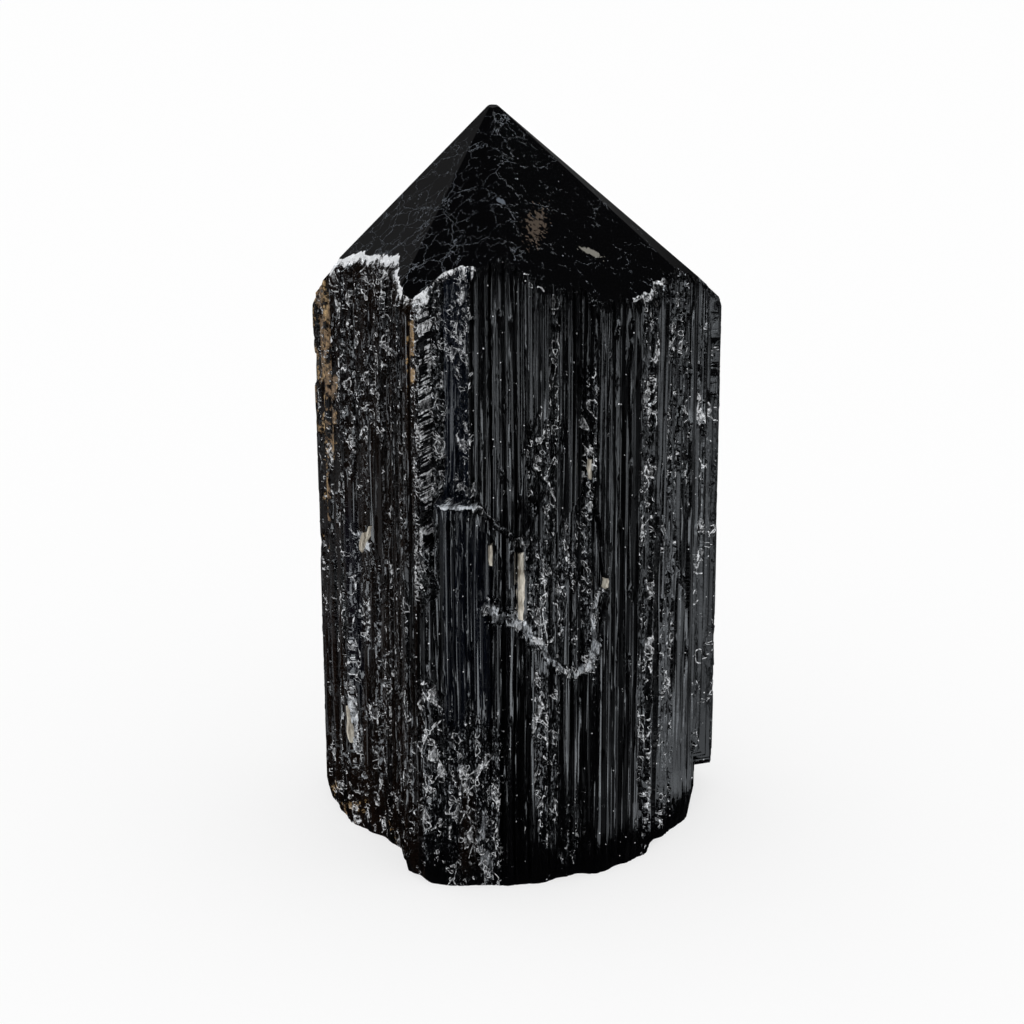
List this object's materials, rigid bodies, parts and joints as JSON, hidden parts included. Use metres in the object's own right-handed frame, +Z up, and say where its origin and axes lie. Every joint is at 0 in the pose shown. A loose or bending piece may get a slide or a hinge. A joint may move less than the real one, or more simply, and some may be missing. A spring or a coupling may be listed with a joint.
{
  "type": "tourmaline crystal tower",
  "caption": "Upright black tourmaline crystal with natural striated sides, a sawn flat foot and a polished faceted point.",
  "frame": {"origin": "centre of the bounding box on the plane of the sawn foot", "axes": "+Z up along the crystal towards its point; -Y out of the narrow front face"},
  "size_m": [0.0488, 0.0438, 0.09],
  "materials": {
    "schorl": "glassy black with growth ribs, pits and broken patches on the sides, and a polished point"
  },
  "bodies": {
    "root": {"crystal": "schorl"}
  },
  "joints": []
}
